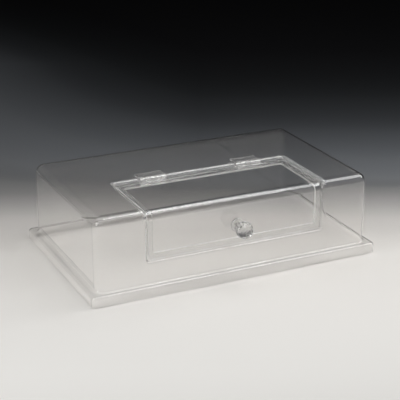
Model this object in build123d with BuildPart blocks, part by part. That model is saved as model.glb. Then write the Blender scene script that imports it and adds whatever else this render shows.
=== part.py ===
from build123d import *
from math import copysign, cos, radians, sin
import os

# Clear food cover with a hinged door that lies in a seat pressed into its top and front.
# Origin at the centre of the foot, +X along the length, +Y to the rear, +Z up. Millimetres.

# Formed cover
wall_length = 508.0
wall_width = 305.0
cover_height = 145.0
flange_width = 12.7
skirt_height = 18.0
sheet = 3.0
top_bend = 15.5
corner_ease = 0.5
skirt_corner = 8.0
skirt_inner_edge = 2.5
wall_foot = 5.0

# Bent door
door_width = 324.0
door_rear = -13.0
door_bottom = 59.0
door_sheet = 3.0
door_bend = 12.5

# Seat for the door and the opening inside it
seat_depth = 7.5
seat_gap = 0.3
side_gap = 2.0
hinge_gap = 8.0
seat_lip = 10.0
seat_corner = 4.0
seat_foot = 1.2
seat_wall = 0.3
opening_corner = 4.0

# Hinges
hinge_spacing = 184.0
hinge_length = 50.0
knuckle_count = 5
knuckle_radius = 3.5
knuckle_gap = 0.4
pin_drop = 0.5
pin_radius = 1.25
pin_clearance = 0.05
pin_inset = 0.5
leaf_thickness = 2.0
leaf_corner = 2.0
cover_leaf_reach = 25.0
door_leaf_reach = 18.0

# Knob
knob_height = 93.0
knob_reach = 27.0
ball_flats = 28.6
table_reach = 13.6
facet_rows = 6
facets_in_row = 12
first_lean = 33.0
row_step = 24.0
neck_radius = 5.5
neck_flare = 4.0
flange_rim = 1.5
flange_thickness = 2.5
flange_bevel = 0.8

# Knob fixing
insert_wall = 1.2
insert_length = 11.0
groove_depth = 0.6
groove_width = 2.0
screw_radius = 2.0
screw_end_gap = 1.0
screw_clearance = 0.2
head_radius = 4.0
head_height = 2.4
head_edge = 0.8
slot_width = 1.0
slot_depth = 1.2
washer_radius = 4.5
washer_thickness = 1.0

# Places that follow from the sizes
front = -wall_width / 2
plan_corner = top_bend + corner_ease
seat_half = door_width / 2 + side_gap
seat_rear = door_rear + hinge_gap
seat_bottom = door_bottom - side_gap
seat_mouth = seat_depth - seat_foot - seat_wall
door_under = cover_height - seat_depth + seat_gap
door_top = door_under + door_sheet
door_back = front + seat_depth - seat_gap
door_face = door_back - door_sheet
pin_y = door_rear + hinge_gap / 2
pin_z = cover_height - pin_drop
knuckle_pitch = hinge_length / knuckle_count
overcut = cover_height
touch = 0.01

os.makedirs("parts", exist_ok=True)


# One side of the plain cover: its outside, or its inside when moved in by the sheet
def plain_form(inset):
    with BuildPart() as form:
        with BuildSketch():
            skirt_length = wall_length + 2 * (flange_width - inset)
            skirt_width = wall_width + 2 * (flange_width - inset)
            RectangleRounded(skirt_length, skirt_width, skirt_corner - inset)
        extrude(amount=skirt_height - inset)
        fillet(form.edges().group_by(Axis.Z)[-1], skirt_inner_edge + sheet - inset)
        with BuildSketch():
            RectangleRounded(wall_length - 2 * inset, wall_width - 2 * inset, plan_corner - inset)
        extrude(amount=cover_height - inset)
        fillet(form.edges(Select.NEW).group_by(Axis.Z)[0], wall_foot + inset)
        fillet(form.edges().group_by(Axis.Z)[-1], top_bend - inset)
    return form.part


# Block that presses the seat into the outside, or into the inside when grown by the sheet
def seat_form(grow):
    floor = cover_height - seat_depth - grow
    face = front + seat_depth + grow
    rear = seat_rear + grow
    bottom = seat_bottom - grow
    with BuildPart() as pocket:
        with BuildSketch(Plane.YZ):
            with BuildLine():
                FilletPolyline(
                    (rear, floor),
                    (face, floor),
                    (face, bottom),
                    radius=door_bend - seat_gap - grow,
                )
                Polyline(
                    (face, bottom),
                    (front - overcut, bottom),
                    (front - overcut, cover_height + overcut),
                    (rear, cover_height + overcut),
                    (rear, floor),
                )
            make_face()
        extrude(amount=seat_half + grow, both=True)
        corners = pocket.edges().filter_by(Axis.Z).group_by(Axis.Y)[-1]
        corners += pocket.edges().filter_by(Axis.Y).group_by(Axis.Z)[0]
        fillet(corners, seat_corner + grow)
        seat_faces = [
            pocket.faces().filter_by(Axis.Z).sort_by(Axis.Z)[1],
            pocket.faces().filter_by(Axis.Y).sort_by(Axis.Y)[1],
            pocket.faces().filter_by(GeomType.CYLINDER).sort_by(SortBy.AREA)[-1],
        ]
        foot = [e for e in pocket.edges() if sum(e in f.edges() for f in seat_faces) == 1]
        fillet(foot, seat_foot + grow)
    return pocket.part


# One side of the formed sheet, with the seat pressed in and its mouth rounded
def pressed_form(inset):
    plain = plain_form(inset)
    pocket = seat_form(inset)
    skin = plain.shell()
    with BuildPart() as pressed:
        add(plain)
        add(pocket, mode=Mode.SUBTRACT)
        mouth = [e for e in pressed.edges(Select.NEW) if skin.distance_to(e @ 0.5) < touch]
        fillet(mouth, seat_mouth - inset)
    return pressed.part


outside = pressed_form(0)
inside = pressed_form(sheet)

with BuildPart() as opening:
    with Locations((0, door_rear - seat_lip, door_bottom + seat_lip)):
        Box(
            door_width - 2 * seat_lip,
            wall_width,
            overcut,
            align=(Align.CENTER, Align.MAX, Align.MIN),
        )
    opening_corners = opening.edges().filter_by(Axis.Z).group_by(Axis.Y)[-1]
    opening_corners += opening.edges().filter_by(Axis.Y).group_by(Axis.Z)[0]
    fillet(opening_corners, opening_corner)

# Dome: the formed sheet with the opening cut in the floor of the seat
with BuildPart() as dome:
    add(outside)
    add(inside, mode=Mode.SUBTRACT)
    add(opening.part, mode=Mode.SUBTRACT)
dome.part.label = "dome"
export_step(dome.part, "parts/dome.step")

# Door: one sheet bent over its front edge, drilled for the knob's screw
knob_foot = Vector(0, door_face, knob_height)
knob_axis = Axis(knob_foot, (0, -1, 0))
knob_plane = Plane(knob_foot, x_dir=(1, 0, 0), z_dir=(0, -1, 0))
turning_plane = Plane(knob_foot, x_dir=(1, 0, 0), z_dir=(0, 0, -1))

with BuildPart() as door:
    with BuildSketch(Plane.YZ):
        with BuildLine():
            FilletPolyline(
                (door_rear, door_under),
                (door_back, door_under),
                (door_back, door_bottom),
                radius=door_bend,
            )
            Line((door_back, door_bottom), (door_face, door_bottom))
            FilletPolyline(
                (door_face, door_bottom),
                (door_face, door_top),
                (door_rear, door_top),
                radius=door_bend + door_sheet,
            )
            Line((door_rear, door_top), (door_rear, door_under))
        make_face()
    extrude(amount=door_width / 2, both=True)
    with BuildSketch(knob_plane):
        Circle(screw_radius + screw_clearance)
    extrude(amount=-door_sheet, mode=Mode.SUBTRACT)
door.part.label = "door"
export_step(door.part, "parts/door.step")


# Hinge leaf: a moulded plate on the plane z = base, with every second knuckle of the barrel
def hinge_leaf(middle, base, reach, first_knuckle, bore):
    with BuildPart() as leaf:
        with BuildSketch(Plane.XY.offset(base)):
            with Locations((middle, pin_y + reach / 2)):
                Rectangle(hinge_length, abs(reach))
        extrude(amount=leaf_thickness)
        far_end = -1 if reach > 0 else 0
        fillet(leaf.edges().filter_by(Axis.Z).group_by(Axis.Y)[far_end], leaf_corner)
        first_x = middle - (hinge_length - knuckle_pitch) / 2
        stations = [(first_x + k * knuckle_pitch, pin_y, pin_z) for k in range(knuckle_count)]
        relief = 2 * (knuckle_radius + knuckle_gap)
        with Locations(stations[1 - first_knuckle :: 2]):
            Box(knuckle_pitch + knuckle_gap, relief, relief, mode=Mode.SUBTRACT)
        with Locations(stations[first_knuckle::2]):
            Cylinder(knuckle_radius, knuckle_pitch - knuckle_gap, rotation=(0, 90, 0))
        with BuildSketch(Plane.XY.offset(base)):
            web_y = pin_y + copysign(knuckle_radius / 2, reach)
            with Locations([(x, web_y) for x, y, z in stations[first_knuckle::2]]):
                Rectangle(knuckle_pitch - knuckle_gap, knuckle_radius)
        extrude(amount=pin_z - base)
        with Locations((middle, pin_y, pin_z)):
            Cylinder(bore, hinge_length, rotation=(0, 90, 0), mode=Mode.SUBTRACT)
    return leaf


# Hinge pin: a plain wire pin, pressed into the knuckles of the cover's leaf
def hinge_pin(middle):
    with BuildPart() as pin:
        with Locations((middle, pin_y, pin_z)):
            Cylinder(pin_radius, hinge_length - 2 * pin_inset, rotation=(0, 90, 0))
    return pin


for side, middle in (("left", -hinge_spacing / 2), ("right", hinge_spacing / 2)):
    dome_leaf = hinge_leaf(middle, cover_height, cover_leaf_reach, 0, pin_radius)
    dome_leaf.part.label = f"{side}_hinge_dome_leaf"
    export_step(dome_leaf.part, f"parts/{side}_hinge_dome_leaf.step")
    door_leaf = hinge_leaf(middle, door_top, -door_leaf_reach, 1, pin_radius + pin_clearance)
    door_leaf.part.label = f"{side}_hinge_door_leaf"
    export_step(door_leaf.part, f"parts/{side}_hinge_door_leaf.step")
    pin = hinge_pin(middle)
    pin.part.label = f"{side}_hinge_pin"
    export_step(pin.part, f"parts/{side}_hinge_pin.step")

# Knob insert: a grooved bush that the knob is moulded round, tapped for the screw
insert_radius = screw_radius + insert_wall
groove_start = (insert_length - groove_width) / 2
groove_end = groove_start + groove_width

with BuildPart() as bush:
    with BuildSketch(turning_plane):
        with BuildLine():
            Polyline(
                (0, 0),
                (insert_radius, 0),
                (insert_radius, groove_start),
                (insert_radius - groove_depth, groove_start),
                (insert_radius - groove_depth, groove_end),
                (insert_radius, groove_end),
                (insert_radius, insert_length),
                (0, insert_length),
                close=True,
            )
        make_face()
    revolve(axis=knob_axis)

with BuildPart() as knob_insert:
    add(bush.part)
    with BuildSketch(knob_plane):
        Circle(screw_radius)
    extrude(amount=insert_length, mode=Mode.SUBTRACT)
knob_insert.part.label = "knob_insert"
export_step(knob_insert.part, "parts/knob_insert.step")

# Knob: a faceted ball on a flared neck and a flange, moulded in one
ball_centre = knob_foot + Vector(0, -knob_reach, 0)
flare_top = flange_thickness + neck_flare
flare_radius = neck_radius + neck_flare
flange_radius = flare_radius + flange_bevel + flange_rim

with BuildPart() as knob:
    with Locations(ball_centre):
        Sphere(ball_flats)
    for row in range(facet_rows):
        lean = radians(first_lean + row * row_step)
        for facet in range(facets_in_row):
            turn = radians(360 / facets_in_row * (facet + row % 2 / 2))
            facing = Vector(sin(lean) * cos(turn), -cos(lean), sin(lean) * sin(turn))
            facet_centre = ball_centre + facing * (ball_flats / 2)
            split(bisect_by=Plane(facet_centre, z_dir=facing), keep=Keep.BOTTOM)
    table_centre = ball_centre + Vector(0, -table_reach, 0)
    split(bisect_by=Plane(table_centre, z_dir=(0, -1, 0)), keep=Keep.BOTTOM)
    with BuildSketch(turning_plane):
        with BuildLine():
            Polyline(
                (neck_radius, flare_top),
                (neck_radius, knob_reach),
                (0, knob_reach),
                (0, 0),
                (flange_radius, 0),
                (flange_radius, flange_thickness - flange_bevel),
                (flange_radius - flange_bevel, flange_thickness),
                (flare_radius, flange_thickness),
            )
            RadiusArc((flare_radius, flange_thickness), (neck_radius, flare_top), neck_flare)
        make_face()
    revolve(axis=knob_axis)
    add(bush.part, mode=Mode.SUBTRACT)
knob.part.label = "knob"
export_step(knob.part, "parts/knob.step")

# Knob screw: a slotted pan-head screw from inside the door
head_seat = -door_sheet - washer_thickness
head_end = head_seat - head_height
screw_depth = insert_length - screw_end_gap

with BuildPart() as knob_screw:
    with BuildSketch(turning_plane):
        with BuildLine():
            Polyline(
                (0, screw_depth),
                (screw_radius, screw_depth),
                (screw_radius, head_seat),
                (head_radius, head_seat),
                (head_radius, head_end + head_edge),
                (head_radius - head_edge, head_end),
                (0, head_end),
                close=True,
            )
        make_face()
    revolve(axis=knob_axis)
    with BuildSketch(knob_plane.offset(head_end)):
        Rectangle(2 * head_radius, slot_width)
    extrude(amount=slot_depth, mode=Mode.SUBTRACT)
knob_screw.part.label = "knob_screw"
export_step(knob_screw.part, "parts/knob_screw.step")

# Knob washer: a soft ring between the screw's head and the door
with BuildPart() as knob_washer:
    with BuildSketch(knob_plane.offset(head_seat)):
        Circle(washer_radius)
        Circle(screw_radius + screw_clearance, mode=Mode.SUBTRACT)
    extrude(amount=washer_thickness)
knob_washer.part.label = "knob_washer"
export_step(knob_washer.part, "parts/knob_washer.step")
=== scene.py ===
import math

import bmesh
import bpy
from mathutils import Matrix, Vector


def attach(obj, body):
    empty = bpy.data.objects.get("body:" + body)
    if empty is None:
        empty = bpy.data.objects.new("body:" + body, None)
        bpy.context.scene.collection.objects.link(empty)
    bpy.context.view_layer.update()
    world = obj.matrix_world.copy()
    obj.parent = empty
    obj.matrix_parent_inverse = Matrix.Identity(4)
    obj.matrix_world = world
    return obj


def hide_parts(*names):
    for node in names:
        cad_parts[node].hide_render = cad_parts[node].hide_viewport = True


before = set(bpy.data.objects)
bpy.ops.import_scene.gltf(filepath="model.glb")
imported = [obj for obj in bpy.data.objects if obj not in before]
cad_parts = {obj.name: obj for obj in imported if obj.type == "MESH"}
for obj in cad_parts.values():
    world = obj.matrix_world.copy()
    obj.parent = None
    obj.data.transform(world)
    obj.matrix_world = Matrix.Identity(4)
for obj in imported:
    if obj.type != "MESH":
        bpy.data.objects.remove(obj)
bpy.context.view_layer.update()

# Formed cover
# One sheet of 3 mm clear acrylic drawn over a mould, which thins its walls and bends: a straight-sided cover
# with a flat flange and a short skirt. The door's seat is pressed into its top and front, and sawn open.
wall_half_length = 0.254
wall_half_width = 0.1525
cover_height = 0.145
wall_corner = 0.016
top_bend = 0.0155
skirt_half_length = 0.2667
skirt_half_width = 0.1652
skirt_height = 0.018
skirt_corner = 0.008
skirt_edge = 0.0055
wall_foot = 0.005
sheet_thickness = 0.003
drawn_thin = 0.4
seat_half_length = 0.164
seat_rear = -0.005
seat_bottom = 0.057
seat_floor = 0.1375
seat_face = -0.145
seat_bend = 0.0122
seat_corner = 0.004
seat_foot = 0.0012
seat_mouth = 0.006
opening_half_length = 0.152
opening_rear = -0.023
opening_bottom = 0.069
opening_corner = 0.004
sawn_edge = 0.0003
past_cover = 0.15
bend_steps = 12
mouth_steps = 8
edge_steps = 6
small_steps = 4
sawn_steps = 2
bend_smoothing = 40
axis_y, axis_z = 1, 2
nearly = 1e-5
nearly_straight = 0.999
nearly_square = 0.99


def block(name, low, high):
    bpy.ops.object.select_all(action="DESELECT")
    middle = [(a + b) / 2 for a, b in zip(low, high)]
    sides = [b - a for a, b in zip(low, high)]
    bpy.ops.mesh.primitive_cube_add(size=1, location=middle, scale=sides)
    bpy.ops.object.transform_apply(location=True, rotation=True, scale=True)
    bpy.context.object.name = name
    return bpy.context.object


def take_up(piece):
    bpy.ops.object.select_all(action="DESELECT")
    piece.select_set(True)
    bpy.context.view_layer.objects.active = piece


def pick(piece, kind, wanted):
    take_up(piece)
    bpy.ops.object.mode_set(mode="EDIT")
    bpy.ops.mesh.select_mode(type=kind)
    bpy.ops.mesh.select_all(action="DESELECT")
    form = bmesh.from_edit_mesh(piece.data)
    form.normal_update()
    for part in form.edges if kind == "EDGE" else form.faces:
        if wanted(part):
            part.select_set(True)
    bmesh.update_edit_mesh(piece.data)


def round_edges(piece, wanted, radius, steps, finish=-1):
    pick(piece, "EDGE", wanted)
    bpy.ops.mesh.bevel(
        offset=radius, segments=steps, profile=0.5, affect="EDGES", clamp_overlap=False, material=finish)
    bpy.ops.object.mode_set(mode="OBJECT")


def runs_along(edge, axis):
    run = edge.verts[1].co - edge.verts[0].co
    return abs(run[axis]) > nearly_straight * run.length


def lies_at(edge, axis, place):
    return all(abs(corner.co[axis] - place) < nearly for corner in edge.verts)


def give_finishes(piece, finishes, shown=0):
    piece.data.materials.clear()
    for finish in finishes:
        piece.data.materials.append(finish)
    for face in piece.data.polygons:
        face.material_index = shown


def between_finishes(edge):
    return len({face.material_index == edge_finish for face in edge.link_faces}) == 2


def combine(piece, other, operation):
    take_up(piece)
    bpy.ops.object.modifier_add(type="BOOLEAN")
    step = piece.modifiers[-1]
    step.operation = operation
    step.object = other
    step.solver = "EXACT"
    bpy.ops.object.modifier_apply(modifier=step.name)
    bpy.data.objects.remove(other)


def thicken(piece, full_places, thinnest):
    take_up(piece)
    bpy.ops.object.modifier_add(type="SOLIDIFY")
    step = piece.modifiers[-1]
    step.thickness = sheet_thickness
    step.offset = -1
    step.use_even_offset = True
    step.material_offset_rim = edge_finish
    step.vertex_group = full_places.name
    step.thickness_vertex_group = thinnest
    bpy.ops.object.modifier_apply(modifier=step.name)


def smooth_bends(piece, angle):
    take_up(piece)
    bpy.ops.object.shade_smooth_by_angle(angle=math.radians(angle))
    bpy.ops.object.modifier_add(type="WEIGHTED_NORMAL")
    step = piece.modifiers[-1]
    step.keep_sharp = True
    bpy.ops.object.modifier_apply(modifier=step.name)


def add_node(material, kind, **settings):
    node = material.node_tree.nodes.new(kind)
    for name, value in settings.items():
        if hasattr(node, name):
            setattr(node, name, value)
        else:
            node.inputs[name.replace("_", " ")].default_value = value
    return node


def wire(material, source, target):
    material.node_tree.links.new(source, target)


def new_finish(name, colour, roughness, **sockets):
    material = bpy.data.materials.new(name)
    material.use_nodes = True
    shader = material.node_tree.nodes["Principled BSDF"]
    shader.inputs["Base Color"].default_value = (*colour, 1)
    shader.inputs["Roughness"].default_value = roughness
    for socket, value in sockets.items():
        shader.inputs[socket.replace("_", " ")].default_value = value
    return material, shader


def grain(material, scale, detail, stretch=(1, 1, 1)):
    place = add_node(material, "ShaderNodeTexCoord")
    fit = add_node(material, "ShaderNodeMapping", Scale=stretch)
    noise = add_node(material, "ShaderNodeTexNoise", Scale=scale, Detail=detail)
    wire(material, place.outputs["Object"], fit.inputs["Vector"])
    wire(material, fit.outputs["Vector"], noise.inputs["Vector"])
    return noise.outputs["Fac"]


# The noise seldom leaves 0.35 to 0.65, so that part of it is spread over the finish's own range
def vary(material, shader, socket, source, low, high):
    span = add_node(
        material, "ShaderNodeMapRange", From_Min=0.35, From_Max=0.65, To_Min=low, To_Max=high)
    wire(material, source, span.inputs["Value"])
    wire(material, span.outputs["Result"], shader.inputs[socket])


def relief(material, shader, source, strength, depth):
    bump = add_node(material, "ShaderNodeBump", Strength=strength, Distance=depth)
    wire(material, source, bump.inputs["Height"])
    wire(material, bump.outputs["Normal"], shader.inputs["Normal"])


# Clear sheet: a polished face with wiping haze, and slow ripples where it was pulled over the mould
acrylic_ior = 1.49
clear_sheet, sheet_shader = new_finish(
    "clear_sheet", (0.99, 0.987, 0.983), roughness=0.02, IOR=acrylic_ior, Transmission_Weight=1.0)
wiping = grain(clear_sheet, scale=14, detail=5, stretch=(1, 2.5, 1))
vary(clear_sheet, sheet_shader, "Roughness", wiping, low=0.002, high=0.014)
ripples = grain(clear_sheet, scale=9, detail=1)
relief(clear_sheet, sheet_shader, ripples, strength=0.05, depth=0.002)

# Sawn edge: the cut through the sheet, scraped and flame polished; its roughness and saw marks are the cut's
# own, and its milky white is painted glow, standing in for light carried through the sheet out of its cut
# edges
sawn_edge_and_painted_glow, sawn_shader = new_finish(
    "sawn_edge", (0.96, 0.96, 0.95), roughness=0.5, IOR=acrylic_ior, Transmission_Weight=0.35)
scraping = grain(sawn_edge_and_painted_glow, scale=120, detail=3, stretch=(1, 1, 6))
vary(sawn_edge_and_painted_glow, sawn_shader, "Roughness", scraping, low=0.4, high=0.6)
saw_marks = grain(sawn_edge_and_painted_glow, scale=900, detail=2)
relief(sawn_edge_and_painted_glow, sawn_shader, saw_marks, strength=0.15, depth=0.0002)

# Rubbed lip: the seat's flat lip and its mouth in the top, roughened by the door and by hands day after day;
# its milky paleness is painted reflection, standing in for light reflected between the door and the seat
rubbed_and_painted_lip, rubbed_shader = new_finish(
    "rubbed_and_painted_lip", (0.95, 0.95, 0.94), roughness=0.15, IOR=acrylic_ior, Transmission_Weight=0.85)
rubbing = grain(rubbed_and_painted_lip, scale=250, detail=3)
vary(rubbed_and_painted_lip, rubbed_shader, "Roughness", rubbing, low=0.1, high=0.18)
# Painted reflection: the lip's milkiness varies in patches
painted_reflection_patches = grain(rubbed_and_painted_lip, scale=12, detail=2)
vary(rubbed_and_painted_lip, rubbed_shader, "Transmission Weight", painted_reflection_patches, low=0.88, high=0.82)

sheet_finishes = (clear_sheet, sawn_edge_and_painted_glow, rubbed_and_painted_lip)
face_finish, edge_finish, lip_finish = 0, 1, 2


def front_pocket(name, half_length, rear, bottom, corner):
    pocket = block(
        name,
        (-half_length, -wall_half_width - past_cover, bottom),
        (half_length, rear, cover_height + past_cover))

    def inner_corner(edge):
        upright = runs_along(edge, axis_z) and lies_at(edge, axis_y, rear)
        level = runs_along(edge, axis_y) and lies_at(edge, axis_z, bottom)
        return upright or level

    round_edges(pocket, inner_corner, corner, edge_steps)
    return pocket


# Skirt and walls, joined with a rounded foot
cover = block(
    "cover_sheet",
    (-skirt_half_length, -skirt_half_width, 0),
    (skirt_half_length, skirt_half_width, skirt_height))
round_edges(cover, lambda e: runs_along(e, axis_z), skirt_corner, bend_steps)
round_edges(cover, lambda e: lies_at(e, axis_z, skirt_height), skirt_edge, edge_steps)
walls = block(
    "walls",
    (-wall_half_length, -wall_half_width, skirt_height / 2),
    (wall_half_length, wall_half_width, cover_height))
round_edges(walls, lambda e: runs_along(e, axis_z), wall_corner, bend_steps)
round_edges(walls, lambda e: lies_at(e, axis_z, cover_height), top_bend, bend_steps)
give_finishes(cover, sheet_finishes, face_finish)
give_finishes(walls, sheet_finishes, edge_finish)
combine(cover, walls, "UNION")
round_edges(cover, between_finishes, wall_foot, edge_steps)
give_finishes(cover, sheet_finishes, face_finish)

# The seat, pressed in over a core that is bent like the door
pocket = front_pocket("pocket", seat_half_length, seat_rear, seat_bottom, seat_corner)
pocket_core = block(
    "pocket_core",
    (-seat_half_length - past_cover, seat_face, -past_cover),
    (seat_half_length + past_cover, past_cover, seat_floor))
round_edges(
    pocket_core,
    lambda e: lies_at(e, axis_y, seat_face) and lies_at(e, axis_z, seat_floor),
    seat_bend, bend_steps)
give_finishes(pocket, sheet_finishes, face_finish)
give_finishes(pocket_core, sheet_finishes, edge_finish)
combine(pocket, pocket_core, "DIFFERENCE")
round_edges(pocket, between_finishes, seat_foot, small_steps)
give_finishes(pocket, sheet_finishes, edge_finish)
combine(cover, pocket, "DIFFERENCE")
round_edges(cover, between_finishes, seat_mouth, mouth_steps, lip_finish)
for face in cover.data.polygons:
    if face.material_index != lip_finish or face.center.z < seat_floor:
        face.material_index = face_finish

# The sheet's thickness, full at the seat's flat lip only
pick(cover, "FACE", lambda f: f.normal.z < -nearly_square and f.calc_center_median().z < nearly)
bpy.ops.mesh.delete(type="FACE")
bpy.ops.object.mode_set(mode="OBJECT")
bpy.ops.object.vertex_group_add()
full_sheet = cover.vertex_groups[-1]
for corner in cover.data.vertices:
    x, y, z = corner.co
    in_seat = abs(x) < seat_half_length and z > seat_bottom
    on_seat = z < seat_floor + nearly and seat_face - nearly < y < seat_rear
    full_sheet.add([corner.index], 1.0 if in_seat and on_seat else 0.0, "REPLACE")
thicken(cover, full_sheet, drawn_thin)

# The opening, sawn in the seat, and the rubbed lip around it, whose milky paleness is painted reflection
sawn_opening = front_pocket("sawn_opening", opening_half_length, opening_rear, opening_bottom, opening_corner)
give_finishes(sawn_opening, sheet_finishes, edge_finish)
combine(cover, sawn_opening, "DIFFERENCE")
round_edges(cover, between_finishes, sawn_edge, sawn_steps)
for face in cover.data.polygons:
    x, y, z = face.center
    in_seat = abs(x) < seat_half_length and y < seat_rear and z > seat_bottom
    on_floor = abs(z - seat_floor) < nearly and face.normal.z > nearly_square
    on_face = abs(y - seat_face) < nearly and face.normal.y < -nearly_square
    if in_seat and (on_floor or on_face):
        face.material_index = lip_finish
smooth_bends(cover, bend_smoothing)
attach(cover, "cover")
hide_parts("dome")

# Door
# A strip of the same clear sheet, cut square, flame polished along its edges and bent over a hot wire at its
# front. It lies in the seat, hangs on the two hinges and is drilled for the screw of its knob.
door_half_length = 0.162
door_rear = -0.013
door_face = -0.14825
door_top = 0.1408
door_bottom = 0.059
door_bend = 0.0155
bent_thin = 0.6
knob_height = 0.093
screw_hole = 0.0022
screw_hole_sides = 40
drill_length = 0.012

bpy.ops.object.select_all(action="DESELECT")
bpy.ops.mesh.primitive_plane_add(size=1, location=(0, (door_rear + door_face) / 2, door_top))
door = bpy.context.object
door.name = "door_sheet"
door.scale = (2 * door_half_length, door_rear - door_face, 1)
bpy.ops.object.transform_apply(location=True, rotation=True, scale=True)
pick(door, "EDGE", lambda e: lies_at(e, axis_y, door_face))
bpy.ops.mesh.extrude_region_move(TRANSFORM_OT_translate={"value": (0, 0, door_bottom - door_top)})
bpy.ops.mesh.select_all(action="SELECT")
bpy.ops.mesh.normals_make_consistent(inside=False)
bpy.ops.object.mode_set(mode="OBJECT")
round_edges(
    door, lambda e: lies_at(e, axis_y, door_face) and lies_at(e, axis_z, door_top), door_bend, bend_steps)
give_finishes(door, sheet_finishes, face_finish)
bpy.ops.object.vertex_group_add()
unbent = door.vertex_groups[-1]
for corner in door.data.vertices:
    flat = corner.co.y > door_rear - nearly or corner.co.z < door_bottom + nearly
    unbent.add([corner.index], 1.0 if flat else 0.0, "REPLACE")
thicken(door, unbent, bent_thin)
bpy.ops.object.select_all(action="DESELECT")
bpy.ops.mesh.primitive_cylinder_add(
    vertices=screw_hole_sides, radius=screw_hole, depth=drill_length,
    location=(0, door_face, knob_height), rotation=(math.radians(90), 0, 0))
drill = bpy.context.object
bpy.ops.object.transform_apply(location=True, rotation=True, scale=True)
give_finishes(drill, sheet_finishes, edge_finish)
combine(door, drill, "DIFFERENCE")
round_edges(door, between_finishes, sawn_edge, sawn_steps)
smooth_bends(door, bend_smoothing)
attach(door, "door")
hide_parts("door")

# Hinges
# Stock hinges moulded in clear plastic: a leaf bonded to the cover with three knuckles, a leaf bonded to the
# door with two, and a steel wire pin pressed through them. The edges are softened as the mould leaves them.
hinge_places = {"left": -0.092, "right": 0.092}
hinge_half_length = 0.025
pin_y = -0.009
pin_z = 0.1445
knuckle_radius = 0.0035
knuckle_sides = 48
knuckle_count = 5
knuckle_pitch = 0.010
knuckle_gap = 0.0004
web_depth = 0.0028
pin_bore = 0.0013
pin_bore_sides = 24
bore_length = 0.1
leaf_thickness = 0.002
leaf_corner = 0.002
leaf_edge = 0.0003
leaf_edge_steps = 3
leaf_smoothing = 35
bond_line = 0.00005
cover_leaf_reach = 0.025
door_leaf_reach = 0.018

# Clear moulded plastic, uneven from the mould, and bright drawn wire
hinge_clear, hinge_shader = new_finish(
    "hinge_clear", (0.97, 0.97, 0.965), roughness=0.06, IOR=acrylic_ior, Transmission_Weight=0.95)
mould_haze = grain(hinge_clear, scale=160, detail=3)
vary(hinge_clear, hinge_shader, "Roughness", mould_haze, low=0.02, high=0.1)
mould_marks = grain(hinge_clear, scale=240, detail=2)
relief(hinge_clear, hinge_shader, mould_marks, strength=0.4, depth=0.0006)
pin_wire, pin_shader = new_finish("pin_wire", (0.62, 0.62, 0.63), roughness=0.28, Metallic=1.0)
drawing = grain(pin_wire, scale=700, detail=3, stretch=(0.05, 1, 1))
vary(pin_wire, pin_shader, "Roughness", drawing, low=0.2, high=0.38)


def rod(name, radius, length, middle, sides):
    bpy.ops.object.select_all(action="DESELECT")
    bpy.ops.mesh.primitive_cylinder_add(
        vertices=sides, radius=radius, depth=length,
        location=(middle, pin_y, pin_z), rotation=(0, math.radians(90), 0))
    bpy.ops.object.transform_apply(location=True, rotation=True, scale=True)
    bpy.context.object.name = name
    return bpy.context.object


def hinge_leaf(name, middle, base, reach, first):
    near, far = sorted((pin_y, pin_y + reach))
    ends = (middle - hinge_half_length, middle + hinge_half_length)
    leaf = block(name, (ends[0], near, base + bond_line), (ends[1], far, base + leaf_thickness))
    round_edges(
        leaf, lambda e: runs_along(e, axis_z) and lies_at(e, axis_y, pin_y + reach), leaf_corner, edge_steps)
    stations = [ends[0] + knuckle_pitch * (k + 0.5) for k in range(knuckle_count)]
    clear = knuckle_radius + knuckle_gap
    for x in stations[1 - first::2]:
        half = (knuckle_pitch + knuckle_gap) / 2
        gap = block(
            "gap", (x - half, pin_y - clear, pin_z - clear), (x + half, pin_y + clear, pin_z + clear))
        combine(leaf, gap, "DIFFERENCE")
    web = math.copysign(web_depth, reach)
    for x in stations[first::2]:
        half = (knuckle_pitch - knuckle_gap) / 2
        low, high = sorted((pin_y, pin_y + web))
        floor_z, top_z = sorted((base + bond_line, pin_z))
        combine(leaf, rod("knuckle", knuckle_radius, 2 * half, x, knuckle_sides), "UNION")
        combine(leaf, block("web", (x - half, low, floor_z), (x + half, high, top_z)), "UNION")
    combine(leaf, rod("bore", pin_bore, bore_length, middle, pin_bore_sides), "DIFFERENCE")
    pick(leaf, "FACE", lambda f: len(f.verts) > 4)
    bpy.ops.mesh.quads_convert_to_tris(ngon_method="BEAUTY")
    bpy.ops.object.mode_set(mode="OBJECT")
    bpy.ops.object.modifier_add(type="BEVEL")
    step = leaf.modifiers[-1]
    step.width = leaf_edge
    step.segments = leaf_edge_steps
    step.limit_method = "ANGLE"
    step.angle_limit = math.radians(leaf_smoothing)
    bpy.ops.object.modifier_apply(modifier=step.name)
    give_finishes(leaf, (hinge_clear,))
    smooth_bends(leaf, leaf_smoothing)
    return leaf


for side, middle in hinge_places.items():
    cover_leaf = hinge_leaf(f"{side}_cover_leaf", middle, cover_height, cover_leaf_reach, first=0)
    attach(cover_leaf, "cover")
    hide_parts(f"{side}_hinge_dome_leaf")
    door_leaf = hinge_leaf(f"{side}_door_leaf", middle, door_top, -door_leaf_reach, first=1)
    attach(door_leaf, "door")
    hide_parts(f"{side}_hinge_door_leaf")
    give_finishes(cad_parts[f"{side}_hinge_pin"], (pin_wire,))

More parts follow.
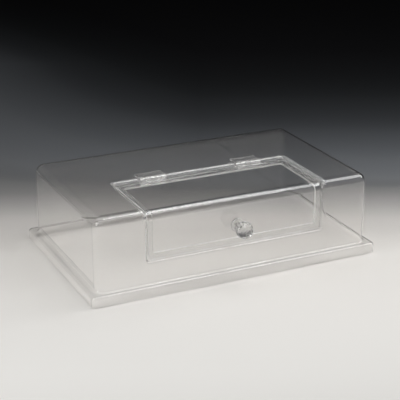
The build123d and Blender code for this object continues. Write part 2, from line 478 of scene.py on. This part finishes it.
# Knob and its fixing
# A faceted ball of clear acrylic moulded on a grooved brass insert, with a flared neck and a flange that
# stands on the door. A slotted steel screw with a nylon washer comes from inside the door into the insert.
knob_clear, knob_shader = new_finish(
    "knob_clear", (0.985, 0.985, 0.98), roughness=0.01, IOR=acrylic_ior, Transmission_Weight=0.93)
facet_haze = grain(knob_clear, scale=90, detail=3)
vary(knob_clear, knob_shader, "Roughness", facet_haze, low=0.003, high=0.02)
insert_brass, brass_shader = new_finish("insert_brass", (0.64, 0.62, 0.58), roughness=0.3, Metallic=1.0)
turning = grain(insert_brass, scale=500, detail=2, stretch=(1, 6, 1))
vary(insert_brass, brass_shader, "Roughness", turning, low=0.22, high=0.42)
screw_steel, screw_shader = new_finish("screw_steel", (0.62, 0.62, 0.63), roughness=0.25, Metallic=1.0)
plating = grain(screw_steel, scale=600, detail=3)
vary(screw_steel, screw_shader, "Roughness", plating, low=0.18, high=0.36)
washer_nylon, washer_shader = new_finish("washer_nylon", (0.82, 0.82, 0.79), roughness=0.45)
moulding = grain(washer_nylon, scale=400, detail=3)
vary(washer_nylon, washer_shader, "Roughness", moulding, low=0.38, high=0.55)
give_finishes(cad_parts["knob"], (knob_clear,))
give_finishes(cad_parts["knob_insert"], (insert_brass,))
give_finishes(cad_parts["knob_screw"], (screw_steel,))
give_finishes(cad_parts["knob_washer"], (washer_nylon,))

# Studio
# A sheet of pale paper whose colour is painted shade, darkening it to dark grey behind the cover where the
# studio light falls off, with painted light that slows the darkening on its left. A large soft box hangs
# overhead with a smaller, brighter one beside it, and weaker ones stand at the left, right and front.
view_turn = math.radians(-25.53)
view_lift = math.radians(21.16)
away = Vector((-math.sin(view_turn), math.cos(view_turn), 0))
across = Vector((math.cos(view_turn), math.sin(view_turn), 0))
fade_start = -0.6
fade_middle = 0.26
fade_end = 1.4
fade_fan = 1.3
floor_half = 3.5
floor_drop = 0.0004
# Painted shade: the paper's colour goes from pale in front to near black behind, standing in for the falloff
# of the studio light
painted_falloff_tones = (
    (0.08, (0.81, 0.795, 0.765)), (0.2, (0.735, 0.715, 0.685)), (0.28, (0.66, 0.64, 0.61)),
    (0.325, (0.56, 0.54, 0.515)), (0.375, (0.42, 0.405, 0.39)), (0.445, (0.165, 0.165, 0.165)),
    (0.48, (0.13, 0.135, 0.142)), (0.55, (0.09, 0.095, 0.102)), (0.65, (0.042, 0.045, 0.049)),
    (0.775, (0.016, 0.0175, 0.019)), (1.0, (0.006, 0.006, 0.007)))
room_tone = (0.025, 0.025, 0.026, 1)

bpy.ops.object.select_all(action="DESELECT")
bpy.ops.mesh.primitive_plane_add(size=2 * floor_half, location=(0, 0, -floor_drop))
floor = bpy.context.object
floor.name = "studio_floor"
bpy.ops.object.transform_apply(location=True, rotation=True, scale=True)

# The paper's colour is painted shade that grows with the way from the viewer, and painted light behind the
# cover on its left, where that way counts as shorter
paper, paper_shader = new_finish("studio_paper", (0.8, 0.8, 0.8), roughness=0.9, Specular_IOR_Level=0.1)
paper_place = add_node(paper, "ShaderNodeTexCoord")
paper_along = add_node(paper, "ShaderNodeVectorMath", operation="DOT_PRODUCT")
paper_along.inputs[1].default_value = away
paper_across = add_node(paper, "ShaderNodeVectorMath", operation="DOT_PRODUCT")
paper_across.inputs[1].default_value = across
paper_behind = add_node(paper, "ShaderNodeMath", operation="SUBTRACT", use_clamp=True)
paper_behind.inputs[1].default_value = fade_middle
painted_light_left = add_node(paper, "ShaderNodeMath", operation="MINIMUM")
painted_light_left.inputs[1].default_value = 0
paper_fan = add_node(paper, "ShaderNodeMath", operation="MULTIPLY")
paper_reach = add_node(paper, "ShaderNodeMath", operation="MULTIPLY_ADD")
paper_reach.inputs[1].default_value = fade_fan
painted_falloff_span = add_node(paper, "ShaderNodeMapRange", From_Min=fade_start, From_Max=fade_end)
painted_falloff_ramp = add_node(paper, "ShaderNodeValToRGB")
painted_falloff_ramp.color_ramp.interpolation = "CARDINAL"
stops = painted_falloff_ramp.color_ramp.elements
for number, (spot, tone) in enumerate(painted_falloff_tones):
    stop = stops[number] if number < len(stops) else stops.new(spot)
    stop.position = spot
    stop.color = (*tone, 1)
wire(paper, paper_place.outputs["Object"], paper_along.inputs[0])
wire(paper, paper_place.outputs["Object"], paper_across.inputs[0])
wire(paper, paper_along.outputs["Value"], paper_behind.inputs[0])
wire(paper, paper_behind.outputs["Value"], paper_fan.inputs[0])
wire(paper, paper_across.outputs["Value"], painted_light_left.inputs[0])
wire(paper, painted_light_left.outputs["Value"], paper_fan.inputs[1])
wire(paper, paper_fan.outputs["Value"], paper_reach.inputs[0])
wire(paper, paper_along.outputs["Value"], paper_reach.inputs[2])
wire(paper, paper_reach.outputs["Value"], painted_falloff_span.inputs["Value"])
wire(paper, painted_falloff_span.outputs["Result"], painted_falloff_ramp.inputs["Fac"])
wire(paper, painted_falloff_ramp.outputs["Color"], paper_shader.inputs["Base Color"])
give_finishes(floor, (paper,))


def soft_box(name, place, aim, width, depth, power, turn=0):
    lamp = bpy.data.lights.new(name, "AREA")
    lamp.shape = "RECTANGLE"
    lamp.size = width
    lamp.size_y = depth
    lamp.energy = power
    stand = bpy.data.objects.new(name, lamp)
    bpy.context.scene.collection.objects.link(stand)
    stand.location = place
    stand.rotation_euler = (Vector(aim) - Vector(place)).to_track_quat("-Z", "Y").to_euler()
    stand.rotation_euler.z += math.radians(turn)
    stand.visible_camera = False


soft_box("overhead_box", place=(-0.05, 0.0, 1.25), aim=(-0.05, 0.0, 0), width=1.5, depth=1.4, power=8)
soft_box(
    "overhead_strip", place=(0.6, -0.14, 1.15), aim=(0.6, -0.14, 0), width=1.0, depth=0.6, power=8, turn=-30)
soft_box("left_box", place=(-1.35, -0.4, 0.8), aim=(-0.25, -0.15, 0.1), width=0.6, depth=0.9, power=8)
soft_box("right_box", place=(1.3, -0.2, 0.9), aim=(0.25, -0.15, 0.1), width=0.5, depth=0.6, power=4)
soft_box("front_box", place=(-0.6, -1.5, 1.5), aim=(-0.4, -0.7, 0), width=1.2, depth=0.8, power=3)

room = bpy.data.worlds.new("room")
bpy.context.scene.world = room
room.use_nodes = True
room.node_tree.nodes["Background"].inputs["Color"].default_value = room_tone

# Light passes many clear faces before it leaves the cover, so it may bounce often
bpy.context.scene.view_settings.view_transform = "Standard"
bpy.context.scene.cycles.blur_glossy = 0.0
bpy.context.scene.cycles.max_bounces = 64
bpy.context.scene.cycles.transmission_bounces = 60
bpy.context.scene.cycles.glossy_bounces = 24

# Camera
# It stands where the photographer stood: to the left of the front corner, a little above the cover.
# Its lens is given as the focal length in pixels of the square picture.
focal_pixels = 1233.3
picture_pixels = 400
camera_distance = 2.21683
camera_shift = 0.0020
camera_rise = 0.07492
aim_height = 0.005

camera = bpy.data.cameras.new("camera")
camera.sensor_width = 36
camera.lens = camera.sensor_width * focal_pixels / picture_pixels
camera_place = bpy.data.objects.new("camera", camera)
bpy.context.scene.collection.objects.link(camera_place)
camera_back = Vector((
    math.sin(view_turn) * math.cos(view_lift),
    -math.cos(view_turn) * math.cos(view_lift),
    math.sin(view_lift)))
camera_up = camera_back.cross(across)
camera_stand = Matrix((across, camera_up, camera_back)).transposed().to_4x4()
camera_stand.translation = (
    camera_back * camera_distance + across * camera_shift + camera_up * camera_rise
    + Vector((0, 0, aim_height)))
camera_place.matrix_world = camera_stand
bpy.context.scene.camera = camera_place
